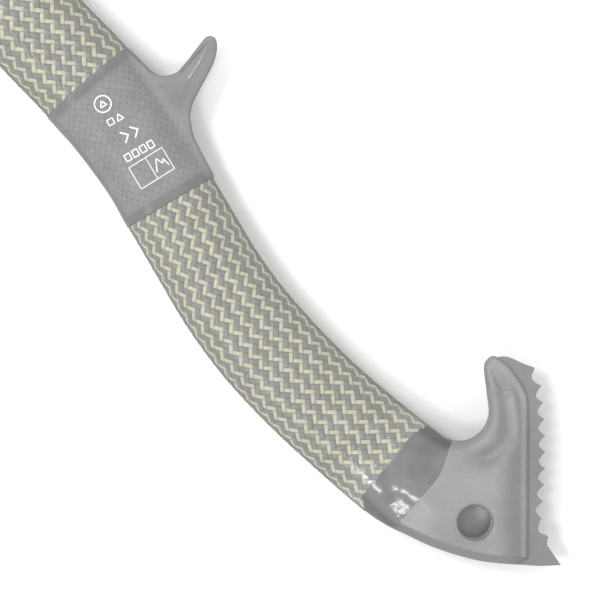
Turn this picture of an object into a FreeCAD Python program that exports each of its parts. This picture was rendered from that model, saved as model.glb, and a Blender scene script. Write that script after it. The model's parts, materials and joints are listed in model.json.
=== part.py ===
"""Leashless composite ice axe, lying on its side.

Frame: +X towards the pick, +Y up the shaft towards the head, +Z up out of the visible side.
Outlines are drawn round the lanyard hole's centre, with z = 0 on the tool's mid-plane.
Every shape is then moved so that the origin is the bottom centre of the whole tool's box.
Lengths are millimetres, angles are degrees.
"""
import FreeCAD, Part
import math
import os

Vector = FreeCAD.Vector
UP = Vector(0, 0, 1)

# ---------------------------------------------------------------- driving dimensions

# Shaft centre line: tangent arcs as (length, turn), from the pommel up to the head.
SPINE_START = (-11.5, 23.8)
SPINE_HEADING = 111.2
SPINE_ARCS = [
    (25, -2.6), (30, -7.2), (30, -11.1), (30, 0.6), (30, 7.4), (15, 6.6),
    (30, -4.0), (60, -9.0), (60, -12.0), (50, -8.0), (42, -2.0),
]

# Outside of the shaft, as (distance along the centre line, depth in the swing plane).
SHAFT_DEPTHS = [
    (-10, 29.6), (0, 32.0), (25, 31.2), (55, 31.0), (85, 29.5), (115, 29.3), (145, 31.6), (402, 30.0),
]
GRIP_THICKNESS = 19.3
UPPER_THICKNESS = 20.5
SLEEVE_WALL = 0.9
TUBE_WALL = 2.2
STATION_STEP = 12.0

# Places along the centre line.
TUBE_BOTTOM = -2.0
SPIGOT_BOTTOM = -12.0
SPIGOT_TOP = 28.0
COLLAR_BOTTOM = -22.0
GRIP_BOTTOM = 4.5
CUFF_BOTTOM = 107.0
CUFF_TOP = 151.5

# Half thicknesses, from the mid-plane. The tool lies on everything that reaches HALF.
HALF = 11.0
HOOK_HALF = 8.0
HORN_HALF = 5.5
PLATE_HALF = 2.0
CHEEK_HALF = 8.0
WASHER = 1.0

# Pommel.
THROAT_CENTRE = (12.7, 30.7)
THROAT_RADIUS = 8.9
LANYARD_BORE_RADIUS = 5.0
FERRULE_RADIUS = 6.2
FERRULE_CHAMFER = 0.8
DOWEL_RADIUS = 2.0
DOWEL_HALF = 4.0
DOWELS = [(8.5, -7.5), (19.0, 10.5), (27.5, 27.5)]
THROAT_FOOT = (4.35, 27.7)
COLLAR_LINE = [(3.4, 22.6), (-0.6, 18.9), (-6.0, 16.3), (-16.5, 12.8), (-21.7, 9.8)]
HOOK_STEP = [(17.0, 24.0), (34.0, 30.0), (50.0, 50.0), (0.0, 50.0)]
STEP_LINE = [(7.4, -19.5), (31.6, 22.4)]
STEP_HALF = 3.5
STEP_TAPER = 10.0

# Serrated edge of the spike plate: tooth tips lie on one large arc.
TOOTH_COUNT = 8
TOOTH_DEPTH = 2.0
TOOTH_ARC_RADIUS = 160.0
TOOTH_VALLEY = 0.46
FIRST_TOOTH = (18.0, -9.1)
LAST_TOOTH = (37.8, 25.1)

# Head, drawn in its own axes: u towards the pick, v up along the shaft's last stretch.
TANG_LENGTH = 50.0
HEAD_COLLAR_LENGTH = 14.0
HEAD_COLLAR_WALL = 1.0
PICK_BOLTS = [(1.0, 26.0), (19.0, 36.0)]
PICK_BOLT_RADIUS = 4.0
PICK_BOLT_HEAD_RADIUS = 6.5
PICK_WASHER_RADIUS = 7.5
HAMMER_BOLT = (-17.0, 32.0)
HAMMER_BOLT_RADIUS = 3.0
HAMMER_BOLT_HEAD_RADIUS = 5.2
HAMMER_FACE_U = -52.0
HAMMER_AXIS_V = 32.0
RIVETS = [(-8.0, 7.5), (8.0, 7.5)]
RIVET_RADIUS = 2.5
RIVET_HEAD_RADIUS = 4.0
RIVET_HEAD = 1.2
HEAD_PIN_DROPS = [22.0, 40.0]
HEAD_PIN_RADIUS = 2.5

# Pick teeth: tips lie on one arc from the point back towards the head.
PICK_TIP = (152.0, -5.0)
PICK_TOOTH_COUNT = 14
PICK_TOOTH_PITCH = 6.0
PICK_TOOTH_DEPTH = 2.6
PICK_TOOTH_ARC = [(145.0, 1.0), (95.0, 16.0), (40.0, 21.0)]


# ---------------------------------------------------------------- centre line

def spine_at(distance):
    """Point and heading of the shaft's centre line at a distance from its start."""
    x, y = SPINE_START
    heading = SPINE_HEADING
    if distance <= 0:
        angle = math.radians(heading)
        return x + distance * math.cos(angle), y + distance * math.sin(angle), heading
    left = distance
    for length, turn in SPINE_ARCS:
        run = min(left, length)
        part_turn = turn * run / length
        half_turn = math.radians(part_turn) / 2
        chord = run if abs(half_turn) < 1e-9 else run * math.sin(half_turn) / half_turn
        angle = math.radians(heading) + half_turn
        x += chord * math.cos(angle)
        y += chord * math.sin(angle)
        heading += part_turn
        left -= run
        if left <= 0:
            break
    return x, y, heading


SPINE_LENGTH = sum(length for length, turn in SPINE_ARCS)


def depth_at(distance):
    """Outside depth of the shaft at a distance along the centre line."""
    for (start, low), (end, high) in zip(SHAFT_DEPTHS, SHAFT_DEPTHS[1:]):
        if distance <= end:
            share = (distance - start) / (end - start)
            return low + (high - low) * share
    return SHAFT_DEPTHS[-1][1]


def thickness_at(distance):
    """Outside thickness of the shaft: the grip is slimmer than the stretch above the cuff."""
    share = (distance - CUFF_BOTTOM) / (CUFF_TOP - CUFF_BOTTOM)
    share = max(0.0, min(1.0, share))
    return GRIP_THICKNESS + (UPPER_THICKNESS - GRIP_THICKNESS) * share


def stadium(distance, depth, thickness):
    """Wire of one cross-section: two flats joined by full round ends."""
    x, y, heading = spine_at(distance)
    angle = math.radians(heading)
    across = Vector(math.sin(angle), -math.cos(angle), 0)
    centre = Vector(x, y, 0)
    flat = across * ((depth - thickness) / 2)
    end = across * (depth / 2)
    rise = UP * (thickness / 2)
    front_up, front_down = centre + flat + rise, centre + flat - rise
    back_up, back_down = centre - flat + rise, centre - flat - rise
    return Part.Wire([
        Part.LineSegment(back_up, front_up).toShape(),
        Part.Arc(front_up, centre + end, front_down).toShape(),
        Part.LineSegment(front_down, back_down).toShape(),
        Part.Arc(back_down, centre - end, back_up).toShape(),
    ])


def shaft_solid(start, end, inset, thickness=None):
    """Solid that follows the shaft from start to end, inset evenly from its outside."""
    steps = max(2, round((end - start) / STATION_STEP))
    wires = []
    for step in range(steps + 1):
        distance = start + (end - start) * step / steps
        outside = thickness or thickness_at(distance)
        wires.append(stadium(distance, depth_at(distance) - 2 * inset, outside - 2 * inset))
    return Part.makeLoft(wires, True, False)


# ---------------------------------------------------------------- flat outlines

def flat(point):
    return Vector(point[0], point[1], 0)


def outline(start, steps):
    """Closed face from steps: ('line', end), ('arc', middle, end) or ('curve', points...)."""
    edges = []
    here = flat(start)
    for kind, *points in steps:
        ends = [flat(point) for point in points]
        if kind == "line":
            edges.append(Part.LineSegment(here, ends[0]).toShape())
        elif kind == "arc":
            edges.append(Part.Arc(here, ends[0], ends[1]).toShape())
        else:
            curve = Part.BSplineCurve()
            curve.interpolate([here] + ends)
            edges.append(curve.toShape())
        here = ends[-1]
    if here.distanceToPoint(flat(start)) > 1e-6:
        edges.append(Part.LineSegment(here, flat(start)).toShape())
    return Part.Face(Part.Wire(edges))


def slab(face, low, high):
    """Extrudes a flat face from z = low to z = high."""
    moved = face.copy()
    moved.translate(Vector(0, 0, low))
    return moved.extrude(Vector(0, 0, high - low))


def peg(point, radius, low, high):
    """Round bar along Z."""
    return Part.makeCylinder(radius, high - low, Vector(point[0], point[1], low), UP)


def joined(shapes):
    """Separate solids that share one node."""
    return Part.makeCompound(shapes)


def polar(centre, radius, degrees):
    angle = math.radians(degrees)
    return (centre[0] + radius * math.cos(angle), centre[1] + radius * math.sin(angle))


# ---------------------------------------------------------------- shaft

def make_tube():
    outside = shaft_solid(TUBE_BOTTOM, SPINE_LENGTH, SLEEVE_WALL)
    bore = shaft_solid(TUBE_BOTTOM, SPINE_LENGTH, SLEEVE_WALL + TUBE_WALL)
    return outside.cut(bore)


def make_sleeve(start, end):
    return shaft_solid(start, end, 0).cut(shaft_solid(start, end, SLEEVE_WALL))


def make_spigot():
    return shaft_solid(SPIGOT_BOTTOM, SPIGOT_TOP, SLEEVE_WALL + TUBE_WALL)


def horn_face():
    """Finger rest: a hooked horn that stands off the front of the cuff."""
    return outline((-24.0, 160.0), [
        ("line", (-19.5, 172.5)),
        ("line", (-16.6, 166.0)),
        ("arc", (-13.7, 162.4), (-9.2, 161.5)),
        ("line", (1.9, 165.7)),
        ("arc", (4.9, 165.2), (4.6, 162.2)),
        ("curve", (1.9, 158.9), (-7.1, 153.0)),
        ("arc", (-12.9, 148.2), (-15.6, 141.0)),
        ("line", (-16.2, 130.0)),
        ("line", (-22.0, 130.0)),
    ])


def make_cuff():
    sleeve = shaft_solid(CUFF_BOTTOM, CUFF_TOP, 0, 2 * HALF)
    horn = slab(horn_face(), -HORN_HALF, HORN_HALF)
    bore = shaft_solid(CUFF_BOTTOM - 2, CUFF_TOP + 2, SLEEVE_WALL)
    return sleeve.fuse(horn).cut(bore).removeSplitter()


# ---------------------------------------------------------------- pommel

def tooth_row():
    """Tips and valleys of the serrated edge, from the spike up."""
    start, end = flat(FIRST_TOOTH), flat(LAST_TOOTH)
    chord = end - start
    middle = (start + end) * 0.5
    sag = math.sqrt(TOOTH_ARC_RADIUS ** 2 - (chord.Length / 2) ** 2)
    inward = Vector(-chord.y, chord.x, 0).normalize()
    centre = middle + inward * sag
    first = math.degrees(math.atan2(start.y - centre.y, start.x - centre.x))
    last = math.degrees(math.atan2(end.y - centre.y, end.x - centre.x))
    pitch = (last - first) / TOOTH_COUNT
    points = []
    for tooth in range(TOOTH_COUNT + 1):
        angle = first + pitch * tooth
        points.append(polar((centre.x, centre.y), TOOTH_ARC_RADIUS, angle))
        if tooth < TOOTH_COUNT:
            valley = angle + TOOTH_VALLEY * pitch
            points.append(polar((centre.x, centre.y), TOOTH_ARC_RADIUS - TOOTH_DEPTH, valley))
    return points


def plate_face():
    """Serrated plate with its spike, and the tang that the pommel shells hold."""
    teeth = [("line", point) for point in tooth_row()]
    return outline((16.0, -24.3), [
        ("line", (15.4, -17.2)),
        ("line", (17.0, -15.1)),
        ("line", (15.4, -12.6)),
    ] + teeth + [
        ("line", (36.6, 28.9)),
        ("line", (38.8, 30.8)),
        ("curve", (36.3, 33.8), (34.4, 36.6)),
        ("curve", (32.8, 38.1), (30.2, 38.9)),
        ("line", (27.0, 32.0)),
        ("line", (14.0, 9.0)),
        ("line", (2.5, -9.5)),
        ("line", (5.4, -18.1)),
        ("curve", (10.3, -21.4)),
    ])


def shell_face():
    """Pommel moulding: back edge, line of the plate, hook, throat and collar boundary."""
    throat = [polar(THROAT_CENTRE, THROAT_RADIUS, angle) for angle in (-20, -90)]
    return outline(COLLAR_LINE[-1], [
        ("curve", (-16.5, 2.2), (-8.8, -6.9), (0.3, -14.7), STEP_LINE[0]),
        ("line", STEP_LINE[1]),
        ("arc", (32.9, 30.6), (30.6, 39.2)),
        ("arc", (28.4, 40.5), (25.8, 39.0)),
        ("curve", (23.8, 34.5), throat[0]),
        ("arc", throat[1], THROAT_FOOT),
        ("line", COLLAR_LINE[0]),
        ("curve", *COLLAR_LINE[1:]),
    ])


def step_wedge(side):
    """What is taken off one half of the pommel so that it thins towards the plate."""
    start, end = [flat(point) for point in STEP_LINE]
    along = (end - start).normalize()
    inboard = Vector(-along.y, along.x, 0)
    foot = start - along * STEP_TAPER
    edge = UP * side * STEP_HALF
    face = UP * side * HALF
    corners = [
        foot + edge,
        foot + inboard * STEP_TAPER + face,
        foot + inboard * STEP_TAPER + face * 2,
        foot - inboard * STEP_TAPER + face * 2,
        foot - inboard * STEP_TAPER + edge,
    ]
    section = Part.Face(Part.makePolygon(corners + corners[:1]))
    return section.extrude(along * (2 * STEP_TAPER + (end - start).Length + 2 * HALF))


def shell_blank(side):
    """One half of the pommel before it is hollowed: side is 1 for right, -1 for left."""
    low, high = sorted((0, side * HALF))
    body = slab(shell_face(), low, high)
    low, high = sorted((side * HOOK_HALF, side * 2 * HALF))
    hook = outline(HOOK_STEP[0], [("line", point) for point in HOOK_STEP[1:]])
    return body.cut([slab(hook, low, high), step_wedge(side)])


def make_collar():
    """Tapered collar over the tube's end, up to the pommel's moulded face."""
    ring = shaft_solid(COLLAR_BOTTOM, GRIP_BOTTOM, 0)
    reach = outline(COLLAR_LINE[-1], [
        ("curve", *COLLAR_LINE[-2::-1]),
        ("line", THROAT_FOOT),
        ("line", (10.0, 42.0)),
        ("line", (-35.0, 42.0)),
        ("line", (-35.0, 20.0)),
    ])
    ring = ring.common(slab(reach, -2 * HALF, 2 * HALF)).cut(make_spigot())
    return ring.cut(shaft_solid(TUBE_BOTTOM, GRIP_BOTTOM + 1, SLEEVE_WALL))


def make_ferrule():
    ring = peg((0, 0), FERRULE_RADIUS, -HALF, HALF)
    bore = peg((0, 0), LANYARD_BORE_RADIUS, -HALF, HALF)
    ring = ring.cut(bore)
    rims = []
    for edge in ring.Edges:
        on_end = abs(abs(edge.BoundBox.ZMin) - HALF) < 1e-6 and edge.BoundBox.ZLength < 1e-6
        if on_end and abs(edge.BoundBox.XMax - LANYARD_BORE_RADIUS) < 0.1:
            rims.append(edge)
    return ring.makeChamfer(FERRULE_CHAMFER, rims)


def make_dowels():
    return joined([peg(point, DOWEL_RADIUS, -DOWEL_HALF, DOWEL_HALF) for point in DOWELS])


def make_plate():
    plate = slab(plate_face(), -PLATE_HALF, PLATE_HALF)
    return plate.cut(make_dowels()).cut(peg((0, 0), FERRULE_RADIUS, -HALF, HALF))


def make_shell(side):
    inner = [make_plate(), make_dowels(), make_spigot(), peg((0, 0), FERRULE_RADIUS, -HALF, HALF)]
    return shell_blank(side).cut(inner)


# ---------------------------------------------------------------- head

HEAD_X, HEAD_Y, HEAD_HEADING = spine_at(SPINE_LENGTH)


def head_point(point):
    """From the head's own axes (u, v) to the drawing."""
    angle = math.radians(HEAD_HEADING)
    u, v = point
    x = HEAD_X + u * math.sin(angle) + v * math.cos(angle)
    y = HEAD_Y - u * math.cos(angle) + v * math.sin(angle)
    return x, y


def head_outline(start, steps):
    placed = [(kind, *[head_point(point) for point in points]) for kind, *points in steps]
    return outline(head_point(start), placed)


def cheek_face():
    return head_outline((-14.0, 1.0), [
        ("line", (-22.0, 12.0)),
        ("arc", (-26.0, 24.0), (-26.0, 38.0)),
        ("arc", (-24.5, 45.0), (-18.0, 48.0)),
        ("curve", (6.0, 51.0), (26.0, 48.0)),
        ("arc", (32.5, 42.0), (31.0, 33.0)),
        ("curve", (24.0, 14.0), (14.0, 1.0)),
    ])


def pick_teeth():
    """Valleys and tips from the point of the pick back towards the head."""
    tips = Part.Arc(*[flat(point) for point in PICK_TOOTH_ARC]).toShape().Curve
    centre = tips.Center
    start = flat(PICK_TOOTH_ARC[0]) - centre
    first = math.atan2(start.y, start.x)
    pitch = PICK_TOOTH_PITCH / tips.Radius
    points = []
    for tooth in range(PICK_TOOTH_COUNT):
        for share, rise in ((0.0, PICK_TOOTH_DEPTH), (0.65, 0.0)):
            angle = first + pitch * (tooth + share)
            radius = tips.Radius + rise
            points.append((centre.x + radius * math.cos(angle), centre.y + radius * math.sin(angle)))
    return points


def pick_face():
    teeth = [("line", point) for point in pick_teeth()]
    return head_outline(PICK_TIP, teeth + [
        ("line", (52.0, 23.0)),
        ("curve", (40.0, 20.0), (27.0, 16.0)),
        ("line", (-8.0, 16.0)),
        ("line", (-8.0, 46.0)),
        ("line", (26.0, 46.0)),
        ("arc", (92.0, 36.0), (148.0, 9.0)),
    ])


def head_pegs(points, radius, low, high):
    return [peg(head_point(point), radius, low, high) for point in points]


def bolt_holes():
    holes = head_pegs(PICK_BOLTS, PICK_BOLT_RADIUS, -HALF, HALF)
    holes += head_pegs([HAMMER_BOLT], HAMMER_BOLT_RADIUS, -HALF, HALF)
    holes += head_pegs(RIVETS, RIVET_RADIUS, -HALF, HALF)
    return holes


def make_pick():
    return slab(pick_face(), -PLATE_HALF, PLATE_HALF).cut(joined(bolt_holes()))


def make_cheek(low, high):
    return slab(cheek_face(), low, high).cut(joined(bolt_holes()))


def make_head_pins():
    reach = UPPER_THICKNESS / 2 - SLEEVE_WALL - 0.2
    return joined(head_pegs([(0, -drop) for drop in HEAD_PIN_DROPS], HEAD_PIN_RADIUS, -reach, reach))


def make_core():
    tang = shaft_solid(SPINE_LENGTH - TANG_LENGTH, SPINE_LENGTH, SLEEVE_WALL + TUBE_WALL)
    web = slab(head_outline((-13.0, -1.0), [
        ("line", (-15.5, 14.0)),
        ("line", (16.0, 14.0)),
        ("line", (13.0, -1.0)),
    ]), -PLATE_HALF, PLATE_HALF)
    core = tang.fuse(web).removeSplitter()
    return core.cut(joined(bolt_holes())).cut(make_head_pins())


def make_head_collar():
    start = SPINE_LENGTH - HEAD_COLLAR_LENGTH
    ring = shaft_solid(start, SPINE_LENGTH, -HEAD_COLLAR_WALL, 2 * (HALF - HEAD_COLLAR_WALL))
    return ring.cut(shaft_solid(start - 2, SPINE_LENGTH, 0)).cut(make_core())


def make_hammer():
    """Tang between the cheeks, a neck behind them and a round striking face."""
    tang = slab(head_outline((-8.0, 18.0), [
        ("line", (-8.0, 46.0)),
        ("line", (-30.0, 44.0)),
        ("line", (-30.0, 20.0)),
        ("line", (-16.0, 17.0)),
    ]), -PLATE_HALF, PLATE_HALF)
    base = Vector(*head_point((-28.0, HAMMER_AXIS_V)), 0)
    tip = Vector(*head_point((HAMMER_FACE_U, HAMMER_AXIS_V)), 0)
    back = (tip - base).normalize()
    neck = Part.makeCone(8.5, HALF, 8.0, base, back)
    body = Part.makeCylinder(HALF, (tip - base).Length - 9.5, base + back * 8.0, back)
    face = Part.makeCone(HALF, HALF - 1.5, 1.5, tip - back * 1.5, back)
    return tang.fuse([neck, body, face]).removeSplitter().cut(joined(bolt_holes()))


def make_bolts(points, radius, head_radius, head_low):
    """Low round-headed bolts: shank through the head, head on the visible side."""
    bolts = []
    for point in points:
        x, y = head_point(point)
        shank = peg((x, y), radius, -HALF + 0.4, head_low)
        head = peg((x, y), head_radius, head_low, HALF)
        socket = slab(hexagon((x, y), radius * 0.75), HALF - 1.4, HALF)
        bolts.append(shank.fuse(head).cut(socket))
    return joined(bolts)


def hexagon(centre, corner_radius):
    corners = [polar(centre, corner_radius, 60 * corner) for corner in range(6)]
    return outline(corners[0], [("line", corner) for corner in corners[1:]])


def make_nuts(points, radius, head_radius, head_low):
    nuts = []
    for point in points:
        centre = head_point(point)
        nut = slab(hexagon(centre, head_radius), -HALF, -head_low)
        nuts.append(nut.cut(peg(centre, radius, -HALF, HALF)))
    return joined(nuts)


def make_washers():
    washers = []
    for point in PICK_BOLTS:
        centre = head_point(point)
        for low in (CHEEK_HALF, -CHEEK_HALF - WASHER):
            disc = peg(centre, PICK_WASHER_RADIUS, low, low + WASHER)
            washers.append(disc.cut(peg(centre, PICK_BOLT_RADIUS, -HALF, HALF)))
    return joined(washers)


def make_rivets():
    rivets = []
    for point in RIVETS:
        centre = head_point(point)
        shank = peg(centre, RIVET_RADIUS, -CHEEK_HALF, CHEEK_HALF)
        top = peg(centre, RIVET_HEAD_RADIUS, CHEEK_HALF, CHEEK_HALF + RIVET_HEAD)
        bottom = peg(centre, RIVET_HEAD_RADIUS, -CHEEK_HALF - RIVET_HEAD, -CHEEK_HALF)
        rivets.append(shank.fuse([top, bottom]).removeSplitter())
    return joined(rivets)


# ---------------------------------------------------------------- assembly

def make_nodes():
    return {
        "shaft_tube": make_tube(),
        "upper_sleeve": make_sleeve(CUFF_TOP, SPINE_LENGTH),
        "grip_sleeve": make_sleeve(GRIP_BOTTOM, CUFF_BOTTOM),
        "finger_rest_cuff": make_cuff(),
        "pommel_collar": make_collar(),
        "pommel_spigot": make_spigot(),
        "pommel_right_shell": make_shell(1),
        "pommel_left_shell": make_shell(-1),
        "spike_plate": make_plate(),
        "plate_dowels": make_dowels(),
        "lanyard_ferrule": make_ferrule(),
        "head_core": make_core(),
        "head_collar": make_head_collar(),
        "head_pins": make_head_pins(),
        "head_right_cheek": make_cheek(PLATE_HALF, CHEEK_HALF),
        "head_left_cheek": make_cheek(-CHEEK_HALF, -PLATE_HALF),
        "cheek_rivets": make_rivets(),
        "pick": make_pick(),
        "pick_bolts": make_bolts(PICK_BOLTS, PICK_BOLT_RADIUS, PICK_BOLT_HEAD_RADIUS, CHEEK_HALF + WASHER),
        "pick_nuts": make_nuts(PICK_BOLTS, PICK_BOLT_RADIUS, PICK_BOLT_HEAD_RADIUS, CHEEK_HALF + WASHER),
        "pick_washers": make_washers(),
        "hammer": make_hammer(),
        "hammer_bolt": make_bolts([HAMMER_BOLT], HAMMER_BOLT_RADIUS, HAMMER_BOLT_HEAD_RADIUS, CHEEK_HALF),
        "hammer_nut": make_nuts([HAMMER_BOLT], HAMMER_BOLT_RADIUS, HAMMER_BOLT_HEAD_RADIUS, CHEEK_HALF),
    }


nodes = make_nodes()
box = joined(list(nodes.values())).BoundBox
origin = Vector((box.XMin + box.XMax) / 2, (box.YMin + box.YMax) / 2, box.ZMin)

os.makedirs("parts", exist_ok=True)
for name, shape in nodes.items():
    shape.translate(-origin)
    shape.exportStep("parts/" + name + ".step")
    print(name, "solids", len(shape.Solids), "valid", shape.isValid(), "volume", round(shape.Volume, 1))

print("size", round(box.XLength, 2), round(box.YLength, 2), round(box.ZLength, 2))
print("lanyard hole centre", [round(value, 2) for value in (-origin.x, -origin.y, -origin.z)])
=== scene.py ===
"""Looks of the composite ice axe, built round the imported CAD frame.

Drawing units are millimetres round the lanyard hole's centre, x towards the pick and y up the shaft,
with z = 0 on the tool's mid-plane. placed() turns them into the frame's metres.
"""
import json
import math

import bmesh
import bpy
import numpy as np
from mathutils import Matrix, Vector


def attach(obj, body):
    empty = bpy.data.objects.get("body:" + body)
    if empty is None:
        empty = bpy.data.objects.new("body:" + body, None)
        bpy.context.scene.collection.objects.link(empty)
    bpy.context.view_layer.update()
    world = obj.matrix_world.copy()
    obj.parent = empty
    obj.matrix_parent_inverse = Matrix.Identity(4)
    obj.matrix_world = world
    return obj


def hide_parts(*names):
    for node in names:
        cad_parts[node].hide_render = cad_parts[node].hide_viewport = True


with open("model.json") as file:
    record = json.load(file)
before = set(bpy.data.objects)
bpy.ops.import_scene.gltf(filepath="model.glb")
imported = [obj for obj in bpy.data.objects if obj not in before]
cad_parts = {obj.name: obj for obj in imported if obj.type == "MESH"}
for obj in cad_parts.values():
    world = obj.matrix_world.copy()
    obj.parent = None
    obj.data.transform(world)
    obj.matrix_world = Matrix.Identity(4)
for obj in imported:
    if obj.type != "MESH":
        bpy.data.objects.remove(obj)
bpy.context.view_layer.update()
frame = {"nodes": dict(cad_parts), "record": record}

# ---- dimensions shared by the parts

# The lanyard hole's centre in the frame.
ORIGIN = next(np.array(m["pos_m"]) for m in frame["record"]["mounts"] if m["name"] == "lanyard_hole")

SPINE_START = (-11.5, 23.8)
SPINE_HEADING = 111.2
SPINE_ARCS = [
    (25, -2.6), (30, -7.2), (30, -11.1), (30, 0.6), (30, 7.4), (15, 6.6),
    (30, -4.0), (60, -9.0), (60, -12.0), (50, -8.0), (42, -2.0),
]
SPINE_LENGTH = sum(length for length, turn in SPINE_ARCS)
SHAFT_DEPTHS = [
    (-10, 29.6), (0, 32.0), (25, 31.2), (55, 31.0), (85, 29.5), (115, 29.3), (145, 31.6), (402, 30.0),
]
GRIP_THICKNESS = 19.3
UPPER_THICKNESS = 20.5
# Half the pommel's thickness, which is the height of the mid-plane over the floor.
HALF = 11.0
GRIP_BOTTOM = 4.5
CUFF_BOTTOM = 107.0
CUFF_TOP = 151.5
CUFF_MIDDLE = (CUFF_BOTTOM + CUFF_TOP) / 2
CUFF_HALF_LENGTH = (CUFF_TOP - CUFF_BOTTOM) / 2
# How much the cuff stands proud of the shaft: all round, and in the whole depth.
CUFF_SKIN = 0.35
CUFF_EXTRA_DEPTH = 0.5
FERRULE_RADIUS = 6.2
PLATE_HALF = 2.0

# ---- small helpers

# Distance between the points of a curved outline.
OUTLINE_SPACING = 0.6


def placed(points):
    """Drawing millimetres to the frame's metres."""
    return ORIGIN + np.asarray(points, float) * 0.001


def linear(*levels):
    """A colour given as 0-255 display levels, as the shader's linear values."""
    shares = np.array(levels) / 255.0
    return tuple(np.where(shares <= 0.04045, shares / 12.92, ((shares + 0.055) / 1.055) ** 2.4)) + (1.0,)


def grey(level, blue=1):
    """A grey with slightly more blue, or less."""
    return linear(level, level, level + blue)


def dim(colour, share):
    """The same colour with its light scaled."""
    return tuple(share * level for level in colour[:3]) + (1.0,)


def smoothstep(low, high, value):
    share = np.clip((value - low) / (high - low), 0.0, 1.0)
    return share * share * (3.0 - 2.0 * share)


def smooth_min(a, b, reach):
    blend = np.clip(0.5 + 0.5 * (b - a) / reach, 0.0, 1.0)
    return b + (a - b) * blend - reach * blend * (1.0 - blend)


def smooth_max(a, b, reach):
    return -smooth_min(-a, -b, reach)


def polar(centre, radius, degrees):
    angle = math.radians(degrees)
    return (centre[0] + radius * math.cos(angle), centre[1] + radius * math.sin(angle))


def through(a, b, c):
    """Points of the circular arc a-b-c after a."""
    (ax, ay), (bx, by), (cx, cy) = a, b, c
    d = 2 * (ax * (by - cy) + bx * (cy - ay) + cx * (ay - by))
    sa, sb, sc = ax * ax + ay * ay, bx * bx + by * by, cx * cx + cy * cy
    ox = (sa * (by - cy) + sb * (cy - ay) + sc * (ay - by)) / d
    oy = (sa * (cx - bx) + sb * (ax - cx) + sc * (bx - ax)) / d
    radius = math.hypot(ax - ox, ay - oy)
    first = math.atan2(ay - oy, ax - ox)
    turn = math.tau if d > 0 else -math.tau
    sweep = (math.atan2(cy - oy, cx - ox) - first) % turn
    steps = max(2, math.ceil(abs(sweep) * radius / OUTLINE_SPACING))
    angles = first + sweep * np.arange(1, steps + 1) / steps
    return [(ox + radius * math.cos(t), oy + radius * math.sin(t)) for t in angles]


def flowing(points):
    """Points of a Catmull-Rom curve through the given points, after the first."""
    line = [np.array(p, float) for p in points]
    line = [2 * line[0] - line[1]] + line + [2 * line[-1] - line[-2]]
    made = []
    for p0, p1, p2, p3 in zip(line, line[1:], line[2:], line[3:]):
        steps = max(2, math.ceil(np.linalg.norm(p2 - p1) / OUTLINE_SPACING))
        for step in range(1, steps + 1):
            t = step / steps
            point = 0.5 * (2 * p1 + (p2 - p0) * t + (2 * p0 - 5 * p1 + 4 * p2 - p3) * t * t
                           + (3 * p1 - p0 - 3 * p2 + p3) * t ** 3)
            made.append(tuple(point))
    return made


def trace(start, steps):
    """Polyline from steps: ('line', end), ('arc', middle, end) or ('curve', points...)."""
    line = [tuple(start)]
    for kind, *points in steps:
        if kind == "line":
            line.append(tuple(points[0]))
        elif kind == "arc":
            line += through(line[-1], points[0], points[1])
        else:
            line += flowing([line[-1]] + points)
    return line


def line_distance(x, y, line, closed=False):
    """Distance from every point to a polyline."""
    best = np.full(np.broadcast(x, y).shape, 1e9)
    ends = line[1:] + line[:1] if closed else line[1:]
    for (ax, ay), (bx, by) in zip(line, ends):
        dx, dy = bx - ax, by - ay
        size = dx * dx + dy * dy
        if size < 1e-12:
            continue
        t = np.clip(((x - ax) * dx + (y - ay) * dy) / size, 0.0, 1.0)
        best = np.minimum(best, (x - ax - t * dx) ** 2 + (y - ay - t * dy) ** 2)
    return np.sqrt(best)


def region_distance(x, y, line):
    """Signed distance to a closed polyline, negative inside."""
    inside = np.zeros(np.broadcast(x, y).shape, bool)
    for (ax, ay), (bx, by) in zip(line, line[1:] + line[:1]):
        if ay == by:
            continue
        spans = (ay > y) != (by > y)
        inside ^= spans & (x < ax + (y - ay) * (bx - ax) / (by - ay))
    distance = line_distance(x, y, line, closed=True)
    return np.where(inside, -distance, distance)


# ---- the shaft's own coordinates

SAMPLE_STEP = 0.5
# The centre line runs straight on below the grip, down to this distance.
SPINE_FROM = -28.0


def spine_samples():
    """Distance, x, y and heading (radians) every SAMPLE_STEP along the centre line."""
    heading = math.radians(SPINE_HEADING)
    rows = []
    x, y = SPINE_START
    for step in range(round(-SPINE_FROM / SAMPLE_STEP)):
        s = SPINE_FROM + step * SAMPLE_STEP
        rows.append((s, x + s * math.cos(heading), y + s * math.sin(heading), heading))
    s = 0.0
    for length, turn in SPINE_ARCS:
        steps = round(length / SAMPLE_STEP)
        bend = math.radians(turn) / steps
        for step in range(steps):
            rows.append((s, x, y, heading))
            x += SAMPLE_STEP * math.cos(heading + bend / 2)
            y += SAMPLE_STEP * math.sin(heading + bend / 2)
            heading += bend
            s += SAMPLE_STEP
    rows.append((s, x, y, heading))
    return np.array(rows).T


SPINE = spine_samples()


def spine_at(s):
    """x, y and heading on the centre line, for an array of distances."""
    return [np.interp(s, SPINE[0], SPINE[row]) for row in (1, 2, 3)]


def shaft_coordinates(x, y, start, end):
    """Distance along the shaft and offset across it (positive to the front) of every point."""
    x, y = np.broadcast_arrays(x, y)
    use = (SPINE[0] >= start) & (SPINE[0] <= end)
    stations = SPINE[:, use][:, ::4]
    best = np.full(x.shape, 1e18)
    along = np.zeros(x.shape)
    across = np.zeros(x.shape)
    for s, cx, cy, heading in stations.T:
        dx, dy = x - cx, y - cy
        size = dx * dx + dy * dy
        nearer = size < best
        best = np.where(nearer, size, best)
        along = np.where(nearer, s + dx * math.cos(heading) + dy * math.sin(heading), along)
        across = np.where(nearer, dx * math.sin(heading) - dy * math.cos(heading), across)
    return along, across


def depth_at(s):
    knots = np.array(SHAFT_DEPTHS, float)
    return np.interp(s, knots[:, 0], knots[:, 1])


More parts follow.
